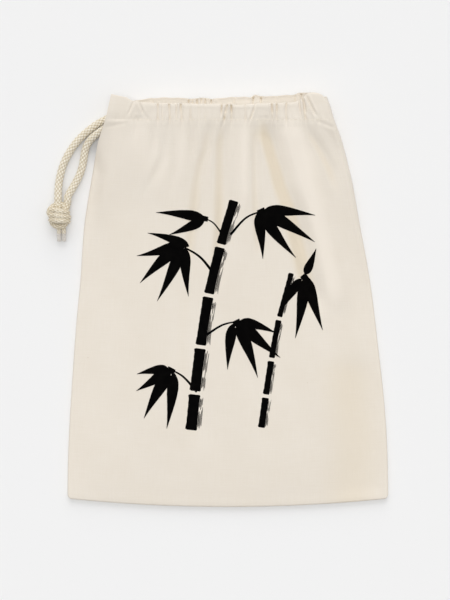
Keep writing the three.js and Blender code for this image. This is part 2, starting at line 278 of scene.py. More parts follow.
# Painted highlight: a lighter tone laid on ridges and towards the top of the front panel
CLOTH_LIT = srgb(248, 239, 227)
FLECK_COLOUR = srgb(178, 152, 118)
CORD_COLOUR = srgb(250, 244, 230)
# A darker cord tone: of fibres and random patches, and also painted shade in the braid's crevices
CORD_DARK_AND_SHADE = srgb(198, 184, 156)


def cotton_cloth():
    nodes = new_material("cotton_cloth")
    flat, deep = nodes.flat(), nodes.value("deep")
    threads, yarn = weave(nodes, flat), slubs(nodes, flat)
    patches = nodes.noise(flat, 26, 3)
    colour = nodes.tinted(
        nodes.blend(nodes.span(yarn, 0.7, 1.3), CLOTH_DARK_AND_SHADE, CLOTH_PALE),
        (0.8, CLOTH_COLOUR),
        (nodes.span(patches, 0.3, 0.7, 0, 0.22), CLOTH_DARK_AND_SHADE),
        # Painted shade: the weave's hollows a little darker
        (nodes.span(threads, 0, 0.35, 0.1, 0), CLOTH_DARK_AND_SHADE),
        # Painted shade in folds and pleats, then painted highlight on ridges and towards the top of
        # the front
        (nodes.span(deep, 0.1, 1, 0, 0.55), CLOTH_FOLD_SHADE),
        (nodes.span(deep, -0.1, -0.7, 0, 0.6), CLOTH_LIT),
        (nodes.math("MULTIPLY", flecks(nodes, flat), 0.5), FLECK_COLOUR))
    height = nodes.math("ADD", threads, nodes.math("MULTIPLY", yarn, 1.2))
    return nodes.surface(colour, nodes.span(threads, 0, 1, 0.98, 0.88),
                         (0.22, 0.00012, height), 0.18, (0.12, 0.5))


def cotton_cord():
    nodes = new_material("cotton_cord")
    flat = nodes.flat()
    fibres = nodes.noise(nodes.scaled(flat, 900, 2600), 1, 3, 0.6)
    patches = nodes.noise(flat, 480)
    colour = nodes.tinted(
        # Painted shade: the braid's crevices, where relief is low, take the darker tone
        nodes.blend(nodes.span(nodes.value("relief"), 0.42, 0.9), CORD_DARK_AND_SHADE, CORD_COLOUR),
        (nodes.span(fibres, 0.35, 0.7, 0.16, 0), CORD_DARK_AND_SHADE),
        (nodes.span(patches, 0.45, 0.62, 0, 0.4), CORD_DARK_AND_SHADE))
    return nodes.surface(colour, nodes.span(fibres, 0, 1, 0.98, 0.85), (0.6, 0.0003, fibres),
                         0.2, (0.2, 0.4))


def mottled(name, grain, tones, gloss, bump, specular, woven=False):
    """A material that follows one noise. tones is its two ends and colours; woven adds a weave."""
    nodes = new_material(name)
    place = nodes.flat() if woven else nodes.add("TexCoord").outputs["Object"]
    noise = nodes.noise(place, *grain)
    height = weave(nodes, place) if woven else noise
    colour = nodes.blend(nodes.span(noise, *tones[:2]), *tones[2:])
    return nodes.surface(colour, nodes.span(noise, *gloss), (*bump, height), specular)


CLOTH_MATERIAL = cotton_cloth()
CORD_MATERIAL = cotton_cord()
INK_TONES = (0.35, 0.75, (0.0004, 0.0003, 0.0003, 1), (0.0025, 0.0022, 0.002, 1))
INK_MATERIAL = mottled(
    "black_ink", (160, 3), INK_TONES, (0.2, 0.8, 0.82, 0.95), (0.3, 0.0001), 0.03, True)
THREAD_TONES = (0.3, 0.7, srgb(222, 212, 194), srgb(243, 237, 226))
THREAD_MATERIAL = mottled(
    "sewing_thread", (2600,), THREAD_TONES, (0, 1, 0.85, 0.7), (0.5, 0.0001), 0.3)
TAPE_TONES = (0.3, 0.75, srgb(196, 189, 180), srgb(232, 227, 219))
TAPE_MATERIAL = mottled(
    "tail_tape", (700, 3), TAPE_TONES, (0.2, 0.8, 0.35, 0.6), (0.4, 0.0002), 0.5)


# Cord: runs in the hem, two strands, knot and tails

CORD_RADIUS = 3.1
STRAND_START = -74.3
STRANDS = {"outer": [
    (-74.3, 145, 4), (-77.5, 145, 4), (-81.6, 144.7, 4), (-86.2, 143.6, 4), (-90.6, 141.9, 4),
    (-95, 139.9, 4), (-99.4, 137.7, 4), (-104.4, 134.4, 3.8), (-109.2, 130.7, 3.5),
    (-113.6, 126.8, 3.2), (-117.4, 122.8, 3.2), (-120.8, 118.4, 3.2), (-123.7, 113.9, 3.2),
    (-126.3, 109, 3.2), (-128.4, 104, 3.2), (-130.2, 98, 3.2), (-131.5, 91.5, 3.4),
    (-132.1, 85.4, 4.2), (-132.2, 79.8, 5), (-132.2, 74.7, 5)], "inner": [
    (-74.3, 143.3, 17.2), (-77, 143.3, 17.2), (-80.4, 142.6, 16.7), (-84, 141, 15.4),
    (-87.8, 138.6, 13.5), (-91.6, 135.6, 11.5), (-95.7, 132.5, 9.7), (-100.2, 129.5, 8.1),
    (-104.6, 126.1, 6.7), (-108.4, 122, 5.4), (-110.9, 116.6, 4.2), (-112.1, 110.6, 3.5),
    (-113.2, 104.4, 3.2), (-115.2, 97.6, 3.2), (-118.4, 91, 3.4), (-121.6, 85.4, 4.2),
    (-124.5, 79.8, 5), (-124.9, 74.8, 5)]}
BRAID_CARRIERS = 6
BRAID_PITCH = 3.5
BRAID_DEPTH = 0.9


def braid(angle, run):
    """Relief of a round plain braid, from 0 in its crevices to 1 on its strands."""
    turn = BRAID_CARRIERS * angle / (2 * math.pi)
    first, second = turn + run / BRAID_PITCH, turn - run / BRAID_PITCH

    def strand(place, other, sign):
        middle = np.round(place)
        over = np.cos(math.pi * other) * np.cos(math.pi * middle) * sign
        return np.sqrt(1 - 3.6 * (place - middle) ** 2) * (0.62 + 0.38 * over)

    return np.maximum(strand(first, second, 1), strand(second, first, -1))


def angles_round(count):
    return np.linspace(0, 2 * math.pi, count, endpoint=False)


def rings(line, reach, wide=1, high=1):
    """Rings of points round a line, with the least twist. reach has one row per ring."""
    ahead = directions(line)
    side = np.cross((0, 0, 1), ahead[0])
    sides = []
    for direction in ahead:
        side = side - direction * np.dot(side, direction)
        side = side / np.linalg.norm(side)
        sides.append(side)
    sides = np.array(sides)
    tops = np.cross(ahead, sides)
    angle = angles_round(reach.shape[1])
    return (line[:, None] + sides[:, None] * (np.cos(angle) * reach * wide)[..., None]
            + tops[:, None] * (np.sin(angle) * reach * high)[..., None])


def tube_from(points, line, run, relief, radius):
    """Points, faces, flat coordinates and relief of a closed tube of rings."""
    count, around = points.shape[:2]
    index = np.arange(count * around).reshape(count, around)
    turned = np.roll(index, -1, 1)
    faces = np.stack([index[:-1], turned[:-1], turned[1:], index[1:]], -1)
    faces = faces.reshape(-1, 4).tolist()
    first, last = count * around, count * around + 1
    faces += [[first, turned[0, k], index[0, k]] for k in range(around)]
    faces += [[last, index[-1, k], turned[-1, k]] for k in range(around)]
    points = np.concatenate([points.reshape(-1, 3), line[:1], line[-1:]])
    width = 2 * math.pi * np.mean(radius) / around
    uv = np.stack(np.broadcast_arrays(np.arange(around) * width, run[:, None]), -1)
    uv = np.concatenate([uv.reshape(-1, 2), [[0, run[0]], [0, run[-1]]]])
    relief = np.concatenate([relief.ravel(), [0.6, 0.6]])
    return points, faces, uv, relief


def braided_tube(route, radius, around=84, step=0.25, depth=BRAID_DEPTH):
    """A braided cord along a route. radius is one number, or several from end to end."""
    line, run = resample(line_through(route, 8), step)
    radius = np.interp(run / run[-1], np.linspace(0, 1, np.size(radius)), np.atleast_1d(radius))
    relief = braid(angles_round(around), run[:, None])
    points = rings(line, radius[:, None] - depth * (1 - relief))
    return tube_from(points, line, run, relief, radius)


def join(parts):
    """Several closed parts as one: points, faces and whatever comes after these."""
    points, faces, *rest = zip(*parts)
    starts = np.cumsum([0] + [len(some) for some in points])
    faces = [[corner + start for corner in face] for some, start in zip(faces, starts)
             for face in some]
    return (np.concatenate(points), faces, *map(np.concatenate, rest))


def cord_piece(name, nodes, parts, material=CORD_MATERIAL, shade=0):
    points, faces, uv, relief = join(parts)
    piece = new_object(name, points, faces, material, uv)
    # relief also sets the painted shade in the braid's crevices; shade lowers it to paint the piece
    # darker
    add_values(piece, "relief", relief - shade)
    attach(piece, "drawcord")
    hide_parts(*nodes)
    return piece


TURN_X = 69.85
TURN_RADIUS = 6.6
TURN_Z = 10.6
FRONT_CORD = (143.3, 17.2)
BACK_CORD = (145, 4)


def hem_route():
    """From the front exit along the front run, round the right end and back."""
    xs = np.linspace(STRAND_START + 0.3, TURN_X - 2, 22)
    turn = [(TURN_X + TURN_RADIUS * math.cos(angle),
             mix(FRONT_CORD[0], BACK_CORD[0], (1 - math.sin(angle)) / 2),
             TURN_Z + TURN_RADIUS * math.sin(angle))
            for angle in np.linspace(math.pi / 2, -math.pi / 2, 13)]
    return [(x, *FRONT_CORD) for x in xs] + turn + [(x, *BACK_CORD) for x in xs[::-1]]


KNOT_CENTRE = (-131, 7)
# The knot is painted a little darker than the loose strands: painted shade on its tight turns
KNOT_SHADE = 0.13
# Each turn of the knot is where it lies, its tilt, its reach across and over, and its radius
KNOT_TURNS = [(68.3, -1.3, 6.2, 4.5, 2.35), (64.6, -1, 7.1, 4.6, 2.3),
              (61, -0.5, 6.7, 4.6, 2.2)]
CORE_RADII = [3, 2.9, 2.6, 2.5, 2.3, 1.7]
# The lobe, the two cords inside and the tuck under them, each with its radii from end to end
KNOT_CORDS = [
    ([(-126.5, 71.5, 5.5), (-129.5, 73.2, 5), (-133.5, 73, 5.6), (-137.2, 70.6, 6.8),
      (-138.6, 67.4, 7.6), (-136.6, 64.4, 8), (-132, 63.5, 8)], 2.6),
    ([(-132.2, 74.6, 5), (-132, 71.5, 5.6), (-131.9, 67, 6.6), (-132.4, 62, 6.6),
      (-132.2, 57.8, 6), (-131.35, 54.2, 5.6)], CORE_RADII),
    ([(-124.9, 74.7, 5), (-126, 71, 5.8), (-128, 67, 7), (-129.2, 62, 7),
      (-128.6, 57.8, 6), (-127.65, 54.2, 5.6)], CORE_RADII),
    ([(-137, 62.5, 6), (-136.2, 58.9, 6.4), (-133.6, 57, 7.4), (-130.6, 56.6, 8),
      (-127.6, 57.4, 7.4), (-125.2, 60.4, 6.4)], [2.1, 2.3, 2.3, 2.1]),
]
TAPE_RADIUS = 1.42


def knot_ring(y, tilt, across, over):
    """One turn of cord round the knot, nearly square to its length."""
    x, z = KNOT_CENTRE
    return [(x + across * math.cos(angle), y + tilt * math.cos(angle),
             z + over * math.sin(angle))
            for angle in np.linspace(0.35 * math.pi, 2.65 * math.pi, 26)]


def tail_route(x, top, bottom):
    """A tail slopes from the knot down to the floor."""
    return [(x, y, 2.4 + 3.2 * (y - 44.4) / 8.7) for y in np.linspace(top, bottom, 6)]


def tape_wrap(x, start, end):
    """A tape tube with a seam and a flattened, folded section."""
    line, run = resample(np.array(tail_route(x, start, end)), 0.25)
    angle = angles_round(40)
    lap = 0.16 * smooth((angle - 0.4) / 0.25) * smooth((2.6 - angle) / 0.12)
    crease = 0.07 * np.sin(3 * angle + run[:, None] * 1.4)
    reach = TAPE_RADIUS + lap + crease
    return tube_from(rings(line, reach, 1.12, 0.96), line, run, np.full(reach.shape, 0.8), 1.5)


cord_piece("cord_in_hem", ["cord_front_run", "cord_turn", "cord_back_run"],
           [braided_tube(hem_route(), CORD_RADIUS, 60, 0.5)])
strands = [cord_piece(side + "_cord", [side + "_strand"], [braided_tube(route, CORD_RADIUS)])
           for side, route in STRANDS.items()]
turns = [(knot_ring(*turn), radius) for *turn, radius in KNOT_TURNS]
knot = [braided_tube(route, radius, 60, 0.3) for route, radius in turns + KNOT_CORDS]
ends = [cord_piece("knot", ["cord_knot"], knot, shade=KNOT_SHADE)]
for side, x in (("outer", -131.35), ("inner", -127.65)):
    tail = braided_tube(tail_route(x, 54.6, 51.4), 1.75, 48, depth=0.3)
    ends.append(cord_piece(side + "_cord_end", [side + "_tail"], [tail]))
    ends.append(cord_piece(side + "_cord_tape", [side + "_tail_tip"],
                           [tape_wrap(x, 52, 45.4)], TAPE_MATERIAL))


# Outline of the bag

BAG_WIDTH = 250
BOTTOM_Y = -162
BOTTOM_BOW = 6.5
CORNER_Y = BOTTOM_Y + BOTTOM_BOW
CORNER_RADIUS = 3.5
EAR_TOP = 160
STITCH_Y = 139.3
BACK_FOOT = 141
STITCH_LINE = 138.9
RIM_INSET = 0.22


def taper(y):
    """How much both sides draw in, from the bottom corners up to the ears."""
    return np.maximum(0, (y - CORNER_Y) / (EAR_TOP - CORNER_Y)) ** 2


def left_edge(y):
    bow = 3 * smooth((y - 6) / 62) * smooth((146 - y) / 28) - 0.7 * hill(y, -60, 50)
    return -BAG_WIDTH / 2 + 34.9 * taper(y) - bow


def right_edge(y):
    bow = 1.8 * smooth((y - 50) / 50) * smooth((142 - y) / 22) - 1 * hill(y, -38, 40)
    return BAG_WIDTH / 2 - 48.5 * taper(y) - RIM_INSET * np.maximum(0, y - 152) + bow


def bottom_edge(x):
    return BOTTOM_Y + BOTTOM_BOW * (2 * x / BAG_WIDTH) ** 2


def corner_inset(height):
    short = np.clip(CORNER_RADIUS - height, 0, CORNER_RADIUS)
    return CORNER_RADIUS - np.sqrt(CORNER_RADIUS ** 2 - short ** 2)


def edge_distances(x, y):
    """How far a point lies from the left edge, from the right edge and above the bottom."""
    height = y - bottom_edge(x)
    inset = corner_inset(height)
    return x - left_edge(y) - inset, right_edge(y) - x - inset, height


# Folds, pleats and heights of the front layer

SEAM_Z = 0.85
EDGE_RISE = 3
EDGE_REACH = 0.9
EDGE_TOP = SEAM_Z + EDGE_RISE
SEAM_PLANE = 10.6
EAR_Z = 20.5
TURN_REACH = 3.6
SIDE_REACH = 75
WALL_REACH = 4.5
FLOOR_GAP = 0.02
# From this Y up the right side turns from a flat edge to a round one
TURN_FROM = 112
# Between these X the cloth is gathered on the cord
GATHERED = (-80, 70)

# Each fold is its depth (a ridge's is below 0), the widths of its steep left and slow right side
# and the points it runs through, from the bottom up
FOLDS = [
    (0.9, 4, 9, [(-60, 108), (-60, 124), (-62.5, 140)]),
    (0.9, 5, 8, [(-69, 78), (-62, 91), (-57, 101), (-53, 110), (-51, 128), (-51, 138)]),
    (0.55, 4, 5, [(-46, 80), (-44, 100), (-44, 136)]),
    (1, 4.5, 6, [(-25.5, 104), (-29, 116), (-30.5, 140)]),
    (1.6, 7, 5, [(-34, 20), (-29, 60), (-26, 92), (-23.5, 104), (-19.7, 116), (-17.7, 128),
        (-15, 141)]),
    (2.1, 7, 11, [(-12, 10), (-8.5, 60), (-8, 120), (-6, 134), (-4.5, 141)]),
    (1.3, 5, 5.5, [(22, 30), (19.5, 84), (19, 141)]),
    (4, 9, 15, [(64, -12), (55, 30), (44.5, 72), (38.2, 88), (35.2, 100), (31.8, 110),
        (29.9, 117), (26.6, 127), (24.5, 141)]),
    (-1.7, 16, 12, [(83, -12), (74, 30), (62.5, 72), (56, 88), (53, 100), (50, 110), (48, 117),
        (46, 127), (45, 141)]),
    (1.6, 6.5, 8, [(84, 82), (80, 91), (76.5, 102), (70, 114), (63, 125), (58, 134),
        (57.5, 141)]),
    (0.7, 3.5, 6, [(88, 106), (82, 121), (77, 128), (70, 134)]),
    (-0.5, 6, 6, [(-38, 86), (-36, 136)]),
    (-0.9, 5, 8, [(11, 60), (11, 139)]),
    (0.5, 12, 20, [(-30, -120), (-38, -40), (-35, 20)]),
    (1.4, 34, 40, [(88, -190), (92, -110), (84, -40)]),
]
# Each pleat is its depth, its width, its X at the rim and, where it slants, its X at the stitches
PLEATS = [
    (0.25, 0.8, -71), (0.9, 0.7, -54.2), (0.5, 0.6, -50.6), (1.1, 0.75, -45.4, -45),
    (0.5, 0.6, -39.9), (1.1, 0.75, -36.5, -35.8), (0.5, 0.7, -29.5, -28.6), (0.35, 0.8, -22.5),
    (0.35, 0.8, -17.8), (0.9, 0.55, -4.8), (1.6, 0.85, -0.3, -3), (1.3, 0.75, 2.7),
    (0.6, 0.7, 13.6), (0.7, 0.8, 22, 17.3), (1, 0.7, 34.2), (0.9, 0.7, 37.8), (0.8, 0.7, 45.2),
    (0.6, 0.7, 55.4, 56.9), (0.9, 0.8, 58.4, 60.2)]
BACK_PLEATS = [
    (0.8, 0.7, -70), (0.5, 0.8, -58), (1.2, 0.7, -30.5), (1.2, 0.6, -27.5), (1.3, 0.7, -24),
    (1, 0.6, -20.6), (1.3, 0.7, -17.6), (1.2, 0.7, -13), (0.6, 0.8, 5), (1.5, 0.8, 19.6),
    (1.5, 0.8, 25.8), (0.6, 0.8, 38), (0.9, 0.7, 52.5), (1.3, 0.8, 57), (1.2, 0.7, 62.5)]
# Each crease is its depth, its width and its two ends
CREASES = [
    (0.55, 0.8, (-72.8, 152.4), (-76.5, 144.4)), (0.75, 0.8, (-68.3, 151), (-65.6, 144.2)),
    (0.9, 0.8, (58.6, 153), (60.4, 145.5)), (1.1, 0.9, (61.6, 155.5), (67, 144)),
    (0.5, 1.2, (84, 132.5), (71, 137)), (0.3, 1, (-65, 143), (-61.5, 139)),
]


def folds(x, y):
    """Height of the folds and ridges, and how deep in the steep side of a fold a point lies, which
    sets their painted shade and highlight.
    """
    total = np.zeros(np.broadcast(x, y).shape)
    within = np.zeros(total.shape)
    for depth, steep, slow, points in FOLDS:
        xs, ys = np.array(points, float).T
        fade = smooth((y - ys[0]) / 26 + 0.15) * mix(0.3, 1, smooth((ys[-1] - y) / 19))
        off = x - np.interp(y, ys, xs)
        shape = smooth(off / steep + 0.5) * (1 - smooth((off - steep / 2) / slow))
        total -= depth * fade * shape
        within += depth * fade * hill(off, 0.2 * steep, 0.6 * steep)
    return total, within


def pleats(x, y, table):
    """Height of the creases of cloth that is gathered on the cord."""
    total = np.zeros(np.broadcast(x, y).shape)
    for depth, width, at_rim, *at_stitch in table:
        at_stitch = at_stitch[0] if at_stitch else at_rim
        centre = at_stitch + (at_rim - at_stitch) * (y - STITCH_Y) / 12.7
        off = x - centre - 0.15 * np.sin(y / 2.3 + 3 * at_rim)
        depth = depth * (1 + 0.35 * np.sin(y / 2.6 + 5 * at_rim))
        total -= depth * groove(off, width, 0.42)
    return total


def creases(x, y):
    """Height of the short creases from one point to another."""
    total = np.zeros(np.broadcast(x, y).shape)
    for depth, width, start, end in CREASES:
        ahead = np.subtract(end, start)
        length = np.hypot(*ahead)
        along = ((x - start[0]) * ahead[0] + (y - start[1]) * ahead[1]) / length
        off = ((x - start[0]) * ahead[1] - (y - start[1]) * ahead[0]) / length
        reach = smooth(along / 3 + 1) * smooth((length - along) / 3 + 1)
        total -= depth * reach * groove(off, width, 0.4)
    return total


def puckers(x, y):
    """Small ripples that the hem's stitches draw into the cloth."""
    ripple = 0.16 * np.sin(x / 1.31 + 1.9 * np.sin(x / 5.3)) + 0.14 * np.sin(x / 0.83 + 0.7)
    return ripple * hill(y, STITCH_Y - 1, 3)


def undulations(x, y):
    return (0.16 * np.sin(x / 11.3 + y / 47 + 0.8) * np.sin(y / 23 + 1.1)
            + 0.12 * np.sin(x / 19 - y / 31 + 2.2) + 0.07 * np.sin(x / 6.1 + y / 15.7))


# Heights over Y: of the ridge inside the left edge, and of the open left edge itself
LEFT_RIDGE = ([0, 40, 80, 110, 141], [-8, 4, 11, 15.4, EAR_Z])
SLOT_HEIGHTS = ([98, 106, 112, 118, 126, 134, 141, 170],
                [-4, 2.4, 5, 7.9, 12.4, 16.8, EAR_Z, EAR_Z])
RIDGE_REACH = 17


def slot_height(y):
    """Height of the front layer's open left edge, where the cord leaves the bag."""
    return sum(np.interp(y + shift, *SLOT_HEIGHTS) for shift in (-2.4, -0.8, 0.8, 2.4)) / 4


def exit_creases(x, y):
    """Two short creases of cloth pulled over the cord where it leaves the left side."""
    first = 136.6 - 0.2 * (-77.9 - x)
    second = 139.1 + 0.13 * (-78.9 - x)
    reach = smooth((x + 97) / 5) * smooth((-75 - x) / 5)
    return -reach * (0.45 * hill(y, first, 1.1) + 0.3 * hill(y, second, 1.4)
                     - 0.2 * hill(y, (first + second) / 2, 1.1))


def front_height(x, y):
    """Height of the outside of the front layer, up to the stitch line."""
    from_left, from_right, height = edge_distances(x, y)
    near = np.minimum(np.minimum(from_left, from_right), height)
    part = np.clip(height / (STITCH_Y - BOTTOM_Y), 0, 1)
    puff = 3.2 * (1 - np.exp(-part / 0.11)) + 7.2 * part + 6.85 * part ** 5
    roll = SEAM_Z + EDGE_RISE * quarter(near / EDGE_REACH)
    roll = roll + 0.1 * hill(near, 3.6, 1.6) - 0.1 * hill(near, 8.4, 1.8)
    gentle = mix(1, 0.2, smooth((y + 10) / 110))
    flat_side = roll + puff * mix(quarter(from_right / WALL_REACH),
                                  side_rise(from_right / SIDE_REACH), gentle)
    round_side = SEAM_PLANE + (EDGE_TOP + puff - SEAM_PLANE) * quarter(from_right / TURN_REACH)
    right = mix(flat_side, round_side, smooth((y - TURN_FROM) / 27))
    left = roll + puff * side_rise(from_left / mix(SIDE_REACH, 38, smooth((y - 60) / 60)))
    body = np.where(x < 0, left, right)
    slot = slot_height(y)
    ridge = np.maximum(np.interp(y, *LEFT_RIDGE), slot)
    slot = mix(slot, ridge, side_rise(from_left / RIDGE_REACH))
    slot = slot - 0.4 * np.maximum(0, x - STRAND_START)
    soft = np.maximum(smooth((y - 108) / 10), 5 * smooth(near / 8))
    body = 0.5 * (body + slot + np.sqrt((body - slot) ** 2 + soft))
    band = 0.14 * (smooth((y - 133.4) / 1.6) - smooth((y - 137.8) / 1.8))
    body += smooth(near / 14) * (folds(x, y)[0] + undulations(x, y)) + band * smooth(near / 3)
    gather = smooth((y - 130) / 9.3) * smooth((x - GATHERED[0]) / 5)
    body += gather * 0.55 * pleats(x, y, PLEATS) + exit_creases(x, y) * smooth((y - 128) / 6)
    body += (puckers(x, y) + creases(x, y)) * smooth(near / 6)
    sewn = hill(y, STITCH_LINE, 0.6) * smooth((x + 86) / 6) * smooth(from_right / 6)
    return body - 0.06 * sewn


def back_height(x, y):
    """Height of the outside of the back layer, up to its hem."""
    from_left, from_right, height = edge_distances(x, y)
    from_left = from_left + 40 * smooth((y - TURN_FROM) / 12)
    near = np.minimum(np.minimum(from_left, from_right), height)
    roll = SEAM_Z * (1 - quarter(near / SEAM_Z))
    round_side = SEAM_PLANE * (1 - quarter(from_right / TURN_REACH))
    turn = np.where(x < 0, 0, smooth((y - TURN_FROM) / 27))
    return FLOOR_GAP + mix(roll, round_side, turn)


# Cloth meshes

CLOTH = 0.45
CORD_ROOM = 0.1
EDGE_STEPS = [0, 0.15, 0.4, 0.8, 1.3, 2, 3]
EDGE_BAND = 4
BOTTOM_ROWS = [*EDGE_STEPS, 4.5, 6.5]


def columns(spacing):
    """The columns of a panel and, twice as many, of its hem, each a fixed distance from the left
    edge and a share of the width. They lie closest where the cloth is gathered."""
    low = float(left_edge(STITCH_Y)) + EDGE_BAND
    high = float(right_edge(STITCH_Y)) - EDGE_BAND
    first, last = GATHERED
    places = [low]
    for start, end, step in (low, first, 1), (first, last, spacing), (last, high, 0.8):
        places += list(np.linspace(start, end, round((end - start) / step) + 1)[1:])
    near = np.array(EDGE_STEPS)
    fixed = np.concatenate([near, np.full(len(places), EDGE_BAND), 2 * EDGE_BAND - near[::-1]])
    shares = (np.array(places) - low) / (high - low)
    part = np.concatenate([np.zeros(len(near)), shares, np.ones(len(near))])
    at, finer = np.arange(len(fixed)), np.arange(0, len(fixed) - 0.5, 0.5)
    return (fixed, part), (np.interp(finer, at, fixed), np.interp(finer, at, part))


def spread(y, inset, layout):
    """X of every column at the height y."""
    fixed, part = layout
    left = left_edge(y) + inset
    width = right_edge(y) - inset - left
    return left + fixed + (width - 2 * EDGE_BAND) * part


def grid_normals(points):
    normals = np.cross(np.gradient(points, axis=1), np.gradient(points, axis=0))
    return normals / np.maximum(np.linalg.norm(normals, axis=2), 1e-9)[..., None]


def shell(top, bottom, keep=None):
    """Points and faces of a closed solid between two grids, and which points these are. keep
    says which cells exist."""
    rows, cols = top.shape[:2]
    index = np.arange(rows * cols).reshape(rows, cols)
    below = rows * cols
    if keep is None:
        keep = np.ones((rows - 1, cols - 1), bool)
    a, b, c, d = index[:-1, :-1], index[:-1, 1:], index[1:, 1:], index[1:, :-1]
    cells = np.stack([a, b, c, d], -1)[keep]
    faces = [cells, cells[:, ::-1] + below]
    padded = np.pad(keep, 1)
    for neighbour, start, end in (
            (padded[:-2, 1:-1], a, b), (padded[1:-1, 2:], b, c),
            (padded[2:, 1:-1], c, d), (padded[1:-1, :-2], d, a)):
        wall = np.stack([end, start, start + below, end + below], -1)
        faces.append(wall[keep & ~neighbour])
    used, faces = np.unique(np.concatenate(faces), return_inverse=True)
    points = np.concatenate([top.reshape(-1, 3), bottom.reshape(-1, 3)])
    return points[used], faces.reshape(-1, 4), used


def cloth_mesh(name, points, side, uv, deep, keep=None):
    """A closed sheet with its outside in points. The inside lies below where side is 1 and above
    where it is -1. deep sets painted shade and highlight: 1 is the most painted shade, deep in a
    fold, 0 is plain cloth and -1 is the most painted highlight."""
    inner = points - grid_normals(points) * CLOTH * side
    points, faces, used = shell(points, inner, keep)
    piece = new_object(name, points, faces[:, ::side].tolist(), CLOTH_MATERIAL,
                       np.tile(uv.reshape(-1, 2), (2, 1))[used], True)
    add_values(piece, "deep", np.tile(deep.ravel(), 2)[used])
    return piece


def cloth_uv(points, layout, start=0):
    """Flat coordinates: across by the share of the cloth's width, along by the run of rows."""
    fixed, part = layout
    width = fixed + (BAG_WIDTH - 2 * EDGE_BAND) * part
    run = start + np.concatenate([[0], np.cumsum(np.median(gaps(points), 1))])
    return np.stack(np.broadcast_arrays(width, run[:, None]), -1)


def panel_points(top, layout, height_of):
    """Outside of a panel. Its rows are closest at the bottom edge and near the hem."""
    length = top - CORNER_Y
    middle = np.arange(9.5, TURN_FROM - CORNER_Y, 3)
    high = np.linspace(middle[-1] + 2, length, round((length - middle[-1]) / 1.1))
    share = np.concatenate([BOTTOM_ROWS, middle, high])[:, None] / length
    rise = share * length
    inset = corner_inset(rise)
    y = mix(CORNER_Y, top, share)
    for _ in range(3):
        x = spread(y, inset, layout)
        low = bottom_edge(x)
        y = np.where(rise < 7, low + rise, mix(low, top, share))
        inset = corner_inset(y - low)
    return np.stack([x, y, height_of(x, y)], -1)


FRONT_RIM = [
    (-91, 158.6), (-84, 157.2), (-79, 156.2), (-74, 153.4), (-66, 152.2), (-45, 151.5),
    (-20, 151.3), (0, 150.9), (8, 150.4), (20, 151), (34, 151.8), (48, 152.1), (56, 153.4),
    (61, 156.6), (65.5, 159.6), (73, 159.9)]
BACK_RIM = [
    (-91, 159.6), (-84, 157.6), (-79, 155.2), (-74, 154.6), (-68, 155.2), (-60, 156.6),
    (-48, 157), (-34, 156.6), (-30, 155.7), (-21, 156.9), (-16, 156.5), (-12, 155.7),
    (-2, 156.9), (14, 157.7), (19, 156.9), (23, 159), (27, 157.8), (40, 158.3), (54, 159.1),
    (58, 160.2), (65, 160.8), (73, 161)]

# A hem's rows run up from its foot, over its rim and down again, in three lists. Each is its
# distance from the foot, the rim or the foot, and its height. The steps are how many points lead
# from row to row. A tube holds the cord and an ear is folded flat
EAR_ENDS = [-6, -6.2, -6.4, -6.6, -6.8]
FRONT_STEPS = [2, 3, 3, 4, 3, 2, 2, 2, 3, 4, 3, 2, 2]
FRONT_TUBE = [
    [(0, 20.4), (1.2, 20.6), (4, 20.95), (7.7, 21.4)],
    [(-2.2, 21.7), (-0.35, 21.4), (0, 20.8), (-0.35, 20), (-1.6, 17.2)],
    [(8.7, 14.6), (4, 13.4), (1.5, 14.1), (0.3, 16.6), (0, 18.7)]]
FRONT_EAR = [
    [(0, 20.4), (1.2, 20.6), (4, 20.9), (7.7, 21.1)],
    [(-2.2, 21.3), (-0.35, 21.2), (0, 20.8), (-0.35, 20.4), (-1.6, 20)]
    + [(off, 19.9) for off in EAR_ENDS], []]
BACK_STEPS = [2, 2, 2, 3, 3, 2, 2, 2, 3, 3, 3, 2, 2]
BACK_TUBE = [
    [(0, 0.02), (2, 0.02), (5.5, 0.02), (8.6, 0.4)],
    [(-2.8, 2.4), (-0.4, 4.4), (0, 5.2), (-0.35, 5.9), (-2.8, 5.5)],
    [(7.8, 6.7), (4, 7.8), (1.3, 6.9), (0.15, 3.6), (0, 1.5)]]
BACK_EAR = [
    [(0, 0.02), (2, 0.02), (5.5, 0.02), (8.6, 0.02)],
    [(-2.8, 0.02), (-0.4, 0.12), (0, 0.5), (-0.4, 0.9), (-2, 1.05)]
    + [(off, 1.05) for off in EAR_ENDS], []]
RIM_ROW = 6
RETURN_ROW = 9
FLAP_ROWS = [-0.6, -2, -3.6, -5]
RIM_CORNER = 6.5


def rim_at(x, table):
    """Y of the rim, rounded off at the right corner."""
    corner = quarter((right_edge(np.full(1, 156)) - x) / RIM_CORNER)
    return np.interp(x, *np.array(table).T) - RIM_CORNER * 0.55 * (1 - corner)


def hem_section(foot, rim, rows, steps):
    """Y and height of the rows of a hem for every column."""
    foot = np.full_like(rim, foot)
    controls = [np.stack([base + off, np.full_like(rim, height)], -1)
                for base, group in zip((foot, rim, foot), rows) for off, height in group]
    return catmull(np.array(controls), steps)


